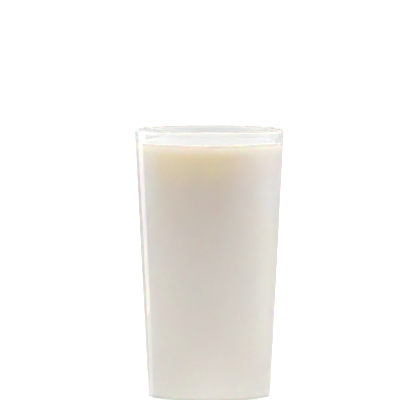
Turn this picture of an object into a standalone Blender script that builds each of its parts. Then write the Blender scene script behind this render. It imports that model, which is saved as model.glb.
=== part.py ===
"""A tumbler of milk: a heavy pressed-glass tumbler with straight tapered walls,
a rim rounded off on its outside and a thick clear base, filled with milk to just
below the rim.

Metres, +Z up. The origin is the centre of the circle the glass stands on.
"""

import math

import bmesh
import bpy

# ---- driving dimensions, in metres ----------------------------------------
HEIGHT = 0.1380          # table to the top of the rim
RIM_RADIUS = 0.03645     # outer wall's line carried up to the rim's height
TAPER = 0.0506           # outer radius lost for each metre of height going down
WALL_AT_RIM = 0.0037     # wall thickness at the rim
WALL_AT_FLOOR = 0.0042   # wall thickness where the wall meets the inner floor
FLOOR = 0.0074           # height of the inner floor, the base's thickness
FLOOR_CORNER = 0.0007    # inner radius between the wall and the floor
HEEL = 0.0032            # outer radius between the wall and the flat foot
RIM_OUTSIDE = 0.0019     # radius of the rim's outer edge
RIM_INSIDE = 0.00055     # radius of its inner edge, with a level ring between them

LEVEL = 0.1309           # height of the milk's flat surface
MENISCUS_RISE = 0.0007   # how far the milk climbs where it meets the glass
MENISCUS_REACH = 0.0017  # how fast that climb fades away from the wall
GAP = 0.0003             # clearance between the milk and the glass

SEGMENTS = 96            # facets round each turned piece


# ---- the glass's two wall lines ---------------------------------------------
def outer_wall(z):
    """Outer radius of the straight wall at height z."""
    return RIM_RADIUS - TAPER * (HEIGHT - z)


def wall(z):
    """Wall thickness at height z, thinning evenly from the floor to the rim."""
    return WALL_AT_RIM + (WALL_AT_FLOOR - WALL_AT_RIM) * (HEIGHT - z) / (HEIGHT - FLOOR)


def inner_wall(z):
    """Inner radius of the straight wall at height z."""
    return outer_wall(z) - wall(z)


OUTER_TILT = math.atan(TAPER)
INNER_TILT = math.atan((inner_wall(HEIGHT) - inner_wall(FLOOR)) / (HEIGHT - FLOOR))


# ---- profile pieces, as (radius, height) points -----------------------------
def arc(centre, radius, start, end, steps):
    """Points on a circular arc from angle start to angle end, both included."""
    return [
        (
            centre[0] + radius * math.cos(start + (end - start) * i / steps),
            centre[1] + radius * math.sin(start + (end - start) * i / steps),
        )
        for i in range(steps + 1)
    ]


def line(a, b, steps):
    """Points inside the straight run from a to b, both ends left out."""
    return [
        (a[0] + (b[0] - a[0]) * i / steps, a[1] + (b[1] - a[1]) * i / steps)
        for i in range(1, steps)
    ]


def rim_arcs():
    """The rim's outer and inner edges, each rounded from its wall to the level top."""
    z = HEIGHT - RIM_OUTSIDE
    outside = (outer_wall(z) - RIM_OUTSIDE / math.cos(OUTER_TILT), z)
    z = HEIGHT - RIM_INSIDE
    inside = (inner_wall(z) + RIM_INSIDE / math.cos(INNER_TILT), z)
    return (
        arc(outside, RIM_OUTSIDE, -OUTER_TILT, math.pi / 2, 6),
        arc(inside, RIM_INSIDE, math.pi / 2, math.pi - INNER_TILT, 3),
    )


def corner_centre(wall_line, tilt, base, radius):
    """Centre of the fillet that touches a wall line and the level plane at base."""
    z = base + radius
    return wall_line(z) - radius / math.cos(tilt), z


def glass_profile():
    """Once round the glass's section, from the axis under the base to the axis on
    the inner floor."""
    heel = corner_centre(outer_wall, OUTER_TILT, 0.0, HEEL)
    floor = corner_centre(inner_wall, INNER_TILT, FLOOR, FLOOR_CORNER)
    rim_outside, rim_inside = rim_arcs()
    heel_arc = arc(heel, HEEL, -math.pi / 2, -OUTER_TILT, 5)
    floor_arc = arc(floor, FLOOR_CORNER, -INNER_TILT, -math.pi / 2, 4)
    return (
        [(0.0, 0.0)]
        + heel_arc
        + line(heel_arc[-1], rim_outside[0], 2)
        + rim_outside
        + rim_inside
        + line(rim_inside[-1], floor_arc[0], 2)
        + floor_arc
        + [(0.0, FLOOR)]
    )


def milk_profile():
    """Once round the milk's section, from the axis on the floor to the axis on the
    surface. It follows the glass's inside, a clearance away from it."""
    centre = corner_centre(inner_wall, INNER_TILT, FLOOR, FLOOR_CORNER)
    corner = arc(centre, FLOOR_CORNER - GAP, -math.pi / 2, -INNER_TILT, 4)
    top = LEVEL + MENISCUS_RISE
    edge = inner_wall(top) - GAP / math.cos(INNER_TILT)
    surface = [
        (edge - back, LEVEL + MENISCUS_RISE * math.exp(-back / MENISCUS_REACH))
        for back in (0.0, 0.0004, 0.0009, 0.0016, 0.0026, 0.0040, 0.0060)
    ]
    return (
        [(0.0, FLOOR + GAP)]
        + corner
        + line(corner[-1], surface[0], 2)
        + surface
        + [(0.0, LEVEL)]
    )


# ---- making the solids ------------------------------------------------------
def material(name, colour, roughness, transmission=0.0, subsurface=0.0, ior=1.5):
    made = bpy.data.materials.new(name)
    made.use_nodes = True
    shader = made.node_tree.nodes["Principled BSDF"]
    shader.inputs["Base Color"].default_value = (*colour, 1.0)
    shader.inputs["Roughness"].default_value = roughness
    shader.inputs["Metallic"].default_value = 0.0
    shader.inputs["IOR"].default_value = ior
    shader.inputs["Transmission Weight"].default_value = transmission
    shader.inputs["Subsurface Weight"].default_value = subsurface
    return made


def turned(name, profile, skin):
    """A solid turned about the Z axis from a profile that starts and ends on it."""
    bm = bmesh.new()
    points = [bm.verts.new((r, 0.0, z)) for r, z in profile]
    edges = [bm.edges.new(pair) for pair in zip(points, points[1:])]
    bmesh.ops.spin(
        bm,
        geom=points + edges,
        cent=(0.0, 0.0, 0.0),
        axis=(0.0, 0.0, 1.0),
        angle=2 * math.pi,
        steps=SEGMENTS,
        use_merge=True,
    )
    bmesh.ops.remove_doubles(bm, verts=bm.verts, dist=1e-6)
    bmesh.ops.recalc_face_normals(bm, faces=bm.faces)
    mesh = bpy.data.meshes.new(name)
    bm.to_mesh(mesh)
    bm.free()
    mesh.shade_smooth()
    mesh.set_sharp_from_angle(angle=math.radians(35))
    mesh.materials.append(skin)
    piece = bpy.data.objects.new(name, mesh)
    bpy.context.scene.collection.objects.link(piece)
    return piece


def main():
    for old in list(bpy.data.objects):
        bpy.data.objects.remove(old)
    clear = material("clear_glass", (0.96, 0.97, 0.97), 0.03, transmission=1.0)
    white = material("milk", (0.92, 0.89, 0.82), 0.25, subsurface=1.0, ior=1.35)
    turned("glass", glass_profile(), clear)
    turned("milk", milk_profile(), white)


main()
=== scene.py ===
"""Looks for the glass of milk: clear glass and milk as fine turned meshes, their
materials, a bright white studio and the camera.

Metres, +Z up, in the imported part's frame.
"""

import math

import bmesh
import bpy
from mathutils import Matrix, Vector


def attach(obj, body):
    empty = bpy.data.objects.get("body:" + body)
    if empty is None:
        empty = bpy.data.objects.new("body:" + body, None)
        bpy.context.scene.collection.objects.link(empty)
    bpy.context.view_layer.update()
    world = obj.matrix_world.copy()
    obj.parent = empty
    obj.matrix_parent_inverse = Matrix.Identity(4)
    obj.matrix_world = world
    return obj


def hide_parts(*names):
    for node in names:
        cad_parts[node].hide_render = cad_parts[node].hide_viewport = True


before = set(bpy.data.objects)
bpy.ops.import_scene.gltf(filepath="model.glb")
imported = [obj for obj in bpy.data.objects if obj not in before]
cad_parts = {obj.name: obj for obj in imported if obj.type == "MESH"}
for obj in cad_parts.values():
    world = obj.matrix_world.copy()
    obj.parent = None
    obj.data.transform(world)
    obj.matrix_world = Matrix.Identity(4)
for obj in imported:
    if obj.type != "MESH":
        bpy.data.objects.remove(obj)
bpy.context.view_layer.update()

# ---- the part's sizes, as its solids have them ------------------------------
HEIGHT = 0.1380
RIM_RADIUS = 0.03645
TAPER = 0.0506
WALL_AT_RIM = 0.0037
WALL_AT_FLOOR = 0.0042
FLOOR = 0.0074
FLOOR_CORNER = 0.0007
HEEL = 0.0032
RIM_OUTSIDE = 0.0019
RIM_INSIDE = 0.00055
LEVEL = 0.1309
MENISCUS_RISE = 0.0007
MENISCUS_REACH = 0.0017
REACH = 0.00015          # how far the milk goes into the wall, so no air shows

SEGMENTS = 240

# ---- the light table's own light --------------------------------------------
GLOW = 0.39              # round the glass, fading outwards
GLOW_FRONT = 1.12        # a second pool, in front of it
LEFT = 0.48              # a wedge behind on the left, under the strip light
RIGHT = 0.50             # a wider one on the right
FAR = 0.10               # over all of it beyond a metre or so
LIFT = 0.80              # clean white where the camera sees the table


def outer_wall(z):
    return RIM_RADIUS - TAPER * (HEIGHT - z)


def wall(z):
    return WALL_AT_RIM + (WALL_AT_FLOOR - WALL_AT_RIM) * (HEIGHT - z) / (HEIGHT - FLOOR)


def inner_wall(z):
    return outer_wall(z) - wall(z)


OUTER_TILT = math.atan(TAPER)
INNER_TILT = math.atan((inner_wall(HEIGHT) - inner_wall(FLOOR)) / (HEIGHT - FLOOR))


def arc(centre, radius, start, end, steps):
    return [
        (
            centre[0] + radius * math.cos(start + (end - start) * i / steps),
            centre[1] + radius * math.sin(start + (end - start) * i / steps),
        )
        for i in range(steps + 1)
    ]


def line(a, b, steps):
    return [
        (a[0] + (b[0] - a[0]) * i / steps, a[1] + (b[1] - a[1]) * i / steps)
        for i in range(1, steps)
    ]


def rim_arcs(steps):
    z = HEIGHT - RIM_OUTSIDE
    outside = (outer_wall(z) - RIM_OUTSIDE / math.cos(OUTER_TILT), z)
    z = HEIGHT - RIM_INSIDE
    inside = (inner_wall(z) + RIM_INSIDE / math.cos(INNER_TILT), z)
    return (
        arc(outside, RIM_OUTSIDE, -OUTER_TILT, math.pi / 2, steps),
        arc(inside, RIM_INSIDE, math.pi / 2, math.pi - INNER_TILT, steps),
    )


def corner_centre(wall_line, tilt, base, radius):
    z = base + radius
    return wall_line(z) - radius / math.cos(tilt), z


def glass_profile():
    heel = corner_centre(outer_wall, OUTER_TILT, 0.0, HEEL)
    floor = corner_centre(inner_wall, INNER_TILT, FLOOR, FLOOR_CORNER)
    rim_outside, rim_inside = rim_arcs(12)
    heel_arc = arc(heel, HEEL, -math.pi / 2, -OUTER_TILT, 14)
    floor_arc = arc(floor, FLOOR_CORNER, -INNER_TILT, -math.pi / 2, 14)
    return (
        [(0.0, 0.0)]
        + line((0.0, 0.0), heel_arc[0], 4)
        + heel_arc
        + line(heel_arc[-1], rim_outside[0], 24)
        + rim_outside
        + rim_inside
        + line(rim_inside[-1], floor_arc[0], 24)
        + floor_arc
        + line(floor_arc[-1], (0.0, FLOOR), 4)
        + [(0.0, FLOOR)]
    )


def milk_profile():
    centre = corner_centre(inner_wall, INNER_TILT, FLOOR, FLOOR_CORNER)
    corner = arc(centre, FLOOR_CORNER + REACH, -math.pi / 2, -INNER_TILT, 14)
    top = LEVEL + MENISCUS_RISE
    edge = inner_wall(top) + REACH / math.cos(INNER_TILT)
    surface = []
    for i in range(15):
        back = 0.0070 * (i / 14) ** 1.8
        inside = max(0.0, back - REACH)
        surface.append((edge - back, LEVEL + MENISCUS_RISE * math.exp(-inside / MENISCUS_REACH)))
    return (
        [(0.0, FLOOR - REACH)]
        + line((0.0, FLOOR - REACH), corner[0], 4)
        + corner
        + line(corner[-1], surface[0], 40)
        + surface
        + line(surface[-1], (0.0, LEVEL), 6)
        + [(0.0, LEVEL)]
    )


def turned(name, profile, skin, sharp):
    bm = bmesh.new()
    points = [bm.verts.new((r, 0.0, z)) for r, z in profile]
    edges = [bm.edges.new(pair) for pair in zip(points, points[1:])]
    bmesh.ops.spin(
        bm,
        geom=points + edges,
        cent=(0.0, 0.0, 0.0),
        axis=(0.0, 0.0, 1.0),
        angle=2 * math.pi,
        steps=SEGMENTS,
        use_merge=True,
    )
    bmesh.ops.remove_doubles(bm, verts=bm.verts, dist=1e-6)
    bmesh.ops.recalc_face_normals(bm, faces=bm.faces)
    mesh = bpy.data.meshes.new(name)
    bm.to_mesh(mesh)
    bm.free()
    mesh.shade_smooth()
    mesh.set_sharp_from_angle(angle=math.radians(sharp))
    mesh.materials.append(skin)
    piece = bpy.data.objects.new(name, mesh)
    bpy.context.scene.collection.objects.link(piece)
    return piece


# ---- node helpers -----------------------------------------------------------
class Tree:
    def __init__(self, tree):
        self.nodes, self.links = tree.nodes, tree.links

    def add(self, kind, **values):
        node = self.nodes.new(kind)
        for key, value in values.items():
            setattr(node, key, value)
        return node

    def wire(self, target, value):
        if hasattr(value, "is_output"):
            self.links.new(value, target)
        else:
            target.default_value = value

    def math(self, operation, a, b=None, c=None, clamp=False):
        node = self.add("ShaderNodeMath", operation=operation, use_clamp=clamp)
        for slot, value in enumerate((a, b, c)):
            if value is not None:
                self.wire(node.inputs[slot], value)
        return node.outputs[0]

    def map(self, value, lo, hi, to_lo=0.0, to_hi=1.0, kind="SMOOTHSTEP"):
        node = self.add("ShaderNodeMapRange", interpolation_type=kind)
        self.wire(node.inputs["Value"], value)
        for name, number in (
            ("From Min", lo),
            ("From Max", hi),
            ("To Min", to_lo),
            ("To Max", to_hi),
        ):
            self.wire(node.inputs[name], number)
        return node.outputs["Result"]

    def mix(self, factor, a, b):
        node = self.add("ShaderNodeMix", data_type="RGBA")
        self.wire(node.inputs[0], factor)
        self.wire(node.inputs[6], a)
        self.wire(node.inputs[7], b)
        return node.outputs[2]

    def noise(self, vector, scale, detail=3.0, rough=0.5):
        node = self.add("ShaderNodeTexNoise")
        self.links.new(vector, node.inputs["Vector"])
        node.inputs["Scale"].default_value = scale
        node.inputs["Detail"].default_value = detail
        node.inputs["Roughness"].default_value = rough
        return node.outputs["Fac"]


def new_material(name):
    made = bpy.data.materials.new(name)
    made.use_nodes = True
    tree = Tree(made.node_tree)
    shader = tree.nodes["Principled BSDF"]
    place = tree.add("ShaderNodeTexCoord").outputs["Object"]
    return made, tree, shader, place


# ---- materials --------------------------------------------------------------
def glass_material():
    made, tree, shader, place = new_material("tumbler_glass")
    shader.inputs["Base Color"].default_value = (0.985, 0.99, 0.99, 1.0)
    shader.inputs["Transmission Weight"].default_value = 1.0
    shader.inputs["IOR"].default_value = 1.5
    shader.inputs["Roughness"].default_value = 0.0
    waves = tree.noise(place, 45.0, detail=1.5, rough=0.4)
    bump = tree.add("ShaderNodeBump")
    bump.inputs["Strength"].default_value = 0.12
    bump.inputs["Distance"].default_value = 0.0004
    tree.links.new(waves, bump.inputs["Height"])
    tree.links.new(bump.outputs["Normal"], shader.inputs["Normal"])
    return made


MILK = (0.929, 0.895, 0.850, 1.0)
PAINTED_LOW_LIGHT = (0.930, 0.910, 0.872, 1.0)      # painted light: paler in the last centimetre above its floor, for light from the table below
PAINTED_WARM_GLOW = (0.898, 0.835, 0.756, 1.0)     # painted warm glow of light scattered down from the top, fading in upwards
PAINTED_TOP_GLOW = (1.00, 0.895, 0.68, 1.0)      # painted glow of light from above: the ring just under the surface
PAINTED_EDGE_LIGHT = (0.99, 0.975, 0.91, 1.0)       # painted light: paler again, in its last few millimetres
PAINTED_SIDE_LIGHT = (0.945, 0.964, 0.926, 1.0)    # painted side light: whiter at the sides of its upper part
PAINTED_LIP_SHADE = (0.54, 0.62, 0.69, 1.0)         # painted shade where it touches the glass at the top
PAINTED_CLIMB_SHADE = (0.71, 0.70, 0.67, 1.0)       # painted shade on the open side of that
PAINTED_SURFACE_SHADE = (0.64, 0.625, 0.60, 1.0)    # painted shade over the open surface
PAINTED_FOOT_SHADE = (0.73, 0.745, 0.71, 1.0)       # painted shade: a thin dark line along its lower edge


def milk_material():
    made, tree, shader, place = new_material("whole_milk")
    split = tree.add("ShaderNodeSeparateXYZ")
    tree.links.new(place, split.inputs[0])
    height = split.outputs["Z"]
    clouds = tree.noise(place, 35.0, detail=3.0)
    x, y = split.outputs["X"], split.outputs["Y"]
    off_axis = tree.math("SQRT", tree.math("MULTIPLY_ADD", x, x, tree.math("MULTIPLY", y, y)))
    # Mask of the open surface, for its painted shade.
    top = tree.math(
        "MULTIPLY",
        tree.map(height, LEVEL - 0.0004, LEVEL - 0.0001),
        tree.map(off_axis, 0.0302, 0.0318, 1.0, 0.0),
    )
    # Painted glow of light from above, in a ring just under the surface.
    painted_glow_ring = tree.math(
        "MULTIPLY",
        tree.map(height, LEVEL - 0.024, LEVEL - 0.010),
        tree.map(height, LEVEL - 0.0045, LEVEL - 0.0004, 1.0, 0.0),
    )
    # Painted glow, strongest along the middle near x = -6.5 mm and fading to a tenth towards the
    # sides; it weights the painted warm glow and ring.
    aside = tree.math("ABSOLUTE", tree.math("ADD", x, 0.0065))
    painted_glow_across = tree.map(aside, 0.006, 0.027, 1.0, 0.1)
    # Painted warm glow of light from above, fading in upwards from 6 cm under the surface.
    painted_warm_tail = tree.math("MULTIPLY", tree.map(height, LEVEL - 0.060, LEVEL - 0.020, 0.15, 1.0), painted_glow_across)
    # Painted light: the milk paler near the floor of the glass, standing in for light from the table
    # below.
    colour = tree.mix(tree.map(height, FLOOR + 0.004, FLOOR + 0.014, 1.0, 0.0), MILK, PAINTED_LOW_LIGHT)
    colour = tree.mix(painted_warm_tail, colour, PAINTED_WARM_GLOW)
    colour = tree.mix(tree.math("MULTIPLY", painted_glow_ring, painted_glow_across), colour, PAINTED_TOP_GLOW)
    # Painted light: the top few millimetres paler, as if lit from above.
    colour = tree.mix(tree.map(height, LEVEL - 0.0060, LEVEL - 0.0008), colour, PAINTED_EDGE_LIGHT)
    # Painted side light: the upper part whiter towards both sides.
    painted_side_light_mask = tree.math(
        "MULTIPLY",
        tree.map(tree.math("ABSOLUTE", tree.math("ADD", x, 0.0015)), 0.0202, 0.0295),
        tree.map(height, LEVEL - 0.050, LEVEL - 0.022),
    )
    colour = tree.mix(painted_side_light_mask, colour, PAINTED_SIDE_LIGHT)
    # Painted shade: a dark band round the top where the milk touches the glass.
    lip_shade_colour = tree.mix(tree.map(off_axis, 0.0321, 0.0324), PAINTED_CLIMB_SHADE, PAINTED_LIP_SHADE)
    colour = tree.mix(tree.map(height, LEVEL - 0.0015, LEVEL + 0.0005), colour, lip_shade_colour)
    # Painted shade: the open surface darker.
    colour = tree.mix(top, colour, PAINTED_SURFACE_SHADE)
    # Painted shade: a thin dark line along the milk's lower edge.
    colour = tree.mix(tree.map(height, FLOOR + 0.0005, FLOOR + 0.0012, 1.0, 0.0), colour, PAINTED_FOOT_SHADE)
    colour = tree.mix(tree.map(clouds, 0.3, 0.7, 0.0, 0.15), colour, (0.92, 0.88, 0.82, 1.0))
    tree.links.new(colour, shader.inputs["Base Color"])
    shader.inputs["Roughness"].default_value = 0.12
    shader.inputs["IOR"].default_value = 1.35
    shader.inputs["Subsurface Weight"].default_value = 1.0
    shader.inputs["Subsurface Radius"].default_value = (15.0, 7.0, 3.0)
    shader.inputs["Subsurface Scale"].default_value = 0.001
    return made


def floor_material():
    """A light table: matt white, with a painted shadow greyer close round the glass, with pools of
    its own light, and lifted to clean white where the camera sees it."""
    made, tree, shader, place = new_material("light_table")
    shader.inputs["Roughness"].default_value = 0.6
    shader.inputs["Specular IOR Level"].default_value = 0.2
    split = tree.add("ShaderNodeSeparateXYZ")
    tree.links.new(place, split.inputs[0])
    across, back = split.outputs["X"], split.outputs["Y"]
    away = tree.add("ShaderNodeVectorMath", operation="LENGTH")
    tree.links.new(place, away.inputs[0])
    away = away.outputs["Value"]
    grain = tree.noise(place, 30.0, detail=4.0)
    matt = tree.mix(tree.map(grain, 0.3, 0.7), (0.67, 0.67, 0.67, 1.0), (0.69, 0.69, 0.69, 1.0))
    # Painted shadow: the table a darker grey close round the glass.
    matt = tree.mix(tree.map(away, 0.045, 0.090), (0.42, 0.42, 0.42, 1.0), matt)
    tree.links.new(matt, shader.inputs["Base Color"])

    def level(name, strength, shape):
        value = tree.add("ShaderNodeValue", name=name)
        value.outputs[0].default_value = strength
        return tree.math("MULTIPLY", value.outputs[0], shape)

    def pool(y, reach):
        shifted = tree.math("SUBTRACT", back, y)
        square = tree.math("MULTIPLY_ADD", across, across, tree.math("MULTIPLY", shifted, shifted))
        return tree.math("EXPONENT", tree.math("DIVIDE", square, -reach * reach))

    def wedge(origin, start, end, soft, distances):
        """Light between two bearings from a point on the x axis, in degrees."""
        bearing = tree.math("ARCTAN2", tree.math("SUBTRACT", across, origin), back)
        bearing = tree.math("MULTIPLY", bearing, 180 / math.pi)
        window = tree.math(
            "MULTIPLY",
            tree.map(bearing, start - soft, start + soft),
            tree.map(bearing, end - soft, end + soft, 1.0, 0.0),
        )
        a, b, c, d = distances
        span = tree.math("MULTIPLY", tree.map(away, a, b), tree.map(away, c, d, 1.0, 0.0))
        return tree.math("MULTIPLY", window, span)

    light = level("far", FAR, tree.map(away, 0.8, 1.6))
    light = tree.math("ADD", light, tree.math(
        "ADD",
        tree.math(
            "ADD",
            level("glow", GLOW, tree.math("MULTIPLY", pool(0.0, 0.12), tree.map(away, 0.045, 0.090))),
            level("glow_front", GLOW_FRONT, pool(-0.09, 0.085)),
        ),
        tree.math(
            "ADD",
            level("left", LEFT, wedge(-0.030, -53.5, -36.7, 2.0, (0.01, 0.03, 0.40, 0.50))),
            level("right", RIGHT, wedge(0.030, 55.0, 100.0, 20.0, (0.10, 0.40, 0.8, 1.2))),
        ),
    ))
    seen = tree.add("ShaderNodeLightPath").outputs["Is Camera Ray"]
    tree.links.new(
        tree.math("MULTIPLY_ADD", seen, LIFT, light),
        shader.inputs["Emission Strength"],
    )
    shader.inputs["Emission Color"].default_value = (1.0, 1.0, 1.0, 1.0)
    return made


# ---- the object -------------------------------------------------------------
glass = turned("glass_body", glass_profile(), glass_material(), 60)
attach(glass, "root")
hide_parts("glass")

milk = turned("milk_body", milk_profile(), milk_material(), 50)
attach(milk, "root")
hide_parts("milk")

# ---- the floor --------------------------------------------------------------
bm = bmesh.new()
bmesh.ops.create_grid(bm, x_segments=4, y_segments=4, size=30.0)
floor_mesh = bpy.data.meshes.new("floor")
bm.to_mesh(floor_mesh)
bm.free()
floor_mesh.materials.append(floor_material())
floor = bpy.data.objects.new("floor", floor_mesh)
bpy.context.scene.collection.objects.link(floor)

# ---- the light: a white studio all round ------------------------------------
# Brightness of the studio's walls by direction: degrees round from straight
# behind the glass, to the right, and from the camera at both ends.
WALLS = (
    (-180, 0.50),
    (-140, 0.50),
    (-110, 1.30),
    (-85, 2.01),
    (-60, 1.69),
    (-38, 1.23),
    (-14, 1.10),
    (14, 0.74),
    (38, 1.78),
    (60, 2.64),
    (85, 2.63),
    (110, 1.60),
    (140, 0.50),
    (180, 0.50),
)
SKYLINE = (
    (-180, 0.50),
    (-90, 2.20),
    (-45, 0.50),
    (0, 0.90),
    (45, 0.96),
    (90, 2.20),
    (180, 0.50),
)
CEILING = 0.50
WHITE = 1.15             # what the camera sees of it

world = bpy.data.worlds.new("studio")
bpy.context.scene.world = world
world.use_nodes = True
sky = Tree(world.node_tree)
for node in list(sky.nodes):
    sky.nodes.remove(node)
way = sky.add("ShaderNodeSeparateXYZ")
sky.links.new(sky.add("ShaderNodeTexCoord").outputs["Generated"], way.inputs[0])
x, y, z = way.outputs
azimuth = sky.math("ARCTAN2", x, y)
turn = sky.map(azimuth, -math.pi, math.pi, kind="LINEAR")


def round_about(name, levels):
    """Brightness by direction, from a table like WALLS."""
    ramp = sky.add("ShaderNodeValToRGB", name=name)
    stops = ramp.color_ramp.elements
    while len(stops) < len(levels):
        stops.new(0.5)
    for stop, (degrees, level) in zip(stops, levels):
        stop.position = (degrees + 180) / 360
    for stop, (degrees, level) in zip(stops, levels):
        stop.color = (level, level, level, 1.0)
    sky.links.new(turn, ramp.inputs["Fac"])
    return ramp.outputs["Color"]


def blend(amount, low, high):
    return sky.math(
        "ADD",
        sky.math("MULTIPLY", low, sky.math("SUBTRACT", 1.0, amount)),
        sky.math("MULTIPLY", high, amount),
    )


ceiling = sky.add("ShaderNodeValue", name="ceiling")
ceiling.outputs[0].default_value = CEILING
level = blend(sky.map(z, 0.50, 0.80), round_about("walls", WALLS), ceiling.outputs[0])
level = blend(sky.map(z, 0.05, 0.16), round_about("skyline", SKYLINE), level)
seen = sky.add("ShaderNodeLightPath").outputs["Is Camera Ray"]
strength = sky.map(seen, 0.0, 1.0, level, WHITE, kind="LINEAR")
background = sky.add("ShaderNodeBackground")
sky.links.new(strength, background.inputs["Strength"])
background.inputs["Color"].default_value = (1.0, 1.0, 1.0, 1.0)
output = sky.add("ShaderNodeOutputWorld")
sky.links.new(background.outputs[0], output.inputs[0])


def panel(name, place, target, width, height, watts):
    """A soft rectangular light at place, turned to face target."""
    data = bpy.data.lights.new(name, "AREA")
    data.shape = "RECTANGLE"
    data.size, data.size_y = width, height
    data.energy = watts
    lamp = bpy.data.objects.new(name, data)
    bpy.context.scene.collection.objects.link(lamp)
    lamp.location = place
    lamp.rotation_euler = (Vector(target) - Vector(place)).to_track_quat("-Z", "Y").to_euler()
    lamp.visible_camera = False
    return lamp


def strip(name, degrees, wide, watts):
    """An upright strip light 0.4 m away, by degrees round from straight behind."""
    turn = math.radians(degrees)
    reach = 0.42
    panel(
        name,
        (reach * math.sin(turn), reach * math.cos(turn), 0.10),
        (0.0, 0.0, 0.10),
        reach * math.radians(wide),
        0.50,
        watts,
    )


panel("softbox", (0.0, 0.0, 1.2), (0.0, 0.0, 0.0), 2.40, 0.30, 11.60)
strip("strip_outer", -48.0, 16.0, 0.24)

scene = bpy.context.scene
scene.view_settings.view_transform = "Standard"
scene.view_settings.look = "None"
scene.cycles.max_bounces = 32
scene.cycles.transmission_bounces = 24
scene.cycles.glossy_bounces = 12
scene.cycles.diffuse_bounces = 6
scene.cycles.sample_clamp_indirect = 4.0
scene.cycles.use_denoising = True

# ---- the camera: a long lens, a few degrees above level ---------------------
DISTANCE = 3.0
RIM_ELEVATION = 3.0
FRAME_MM = 195.0          # width of the photograph's frame at the glass, in millimetres
AXIS_PX = 209.3           # where the glass's axis is across the photograph
RIM_PX = 128.4            # where the rim's centre is down the photograph
mm_per_px = FRAME_MM / 400
cam_data = bpy.data.cameras.new("camera")
cam_data.sensor_width = 36.0
cam_data.lens = 36.0 * DISTANCE * 1000 / FRAME_MM
cam_data.clip_start = 0.1
cam_data.clip_end = 200.0
camera = bpy.data.objects.new("camera", cam_data)
scene.collection.objects.link(camera)
rim_centre = Vector((0.0, 0.0, HEIGHT))
rise = math.radians(RIM_ELEVATION)
side = (AXIS_PX - 200) * mm_per_px / 1000
camera.location = rim_centre + DISTANCE * Vector((0.0, -math.cos(rise), math.sin(rise)))
camera.location.x -= side
down = rise + math.atan((200 - RIM_PX) * mm_per_px / 1000 / DISTANCE)
camera.rotation_euler = (math.pi / 2 - down, 0.0, 0.0)
scene.camera = camera
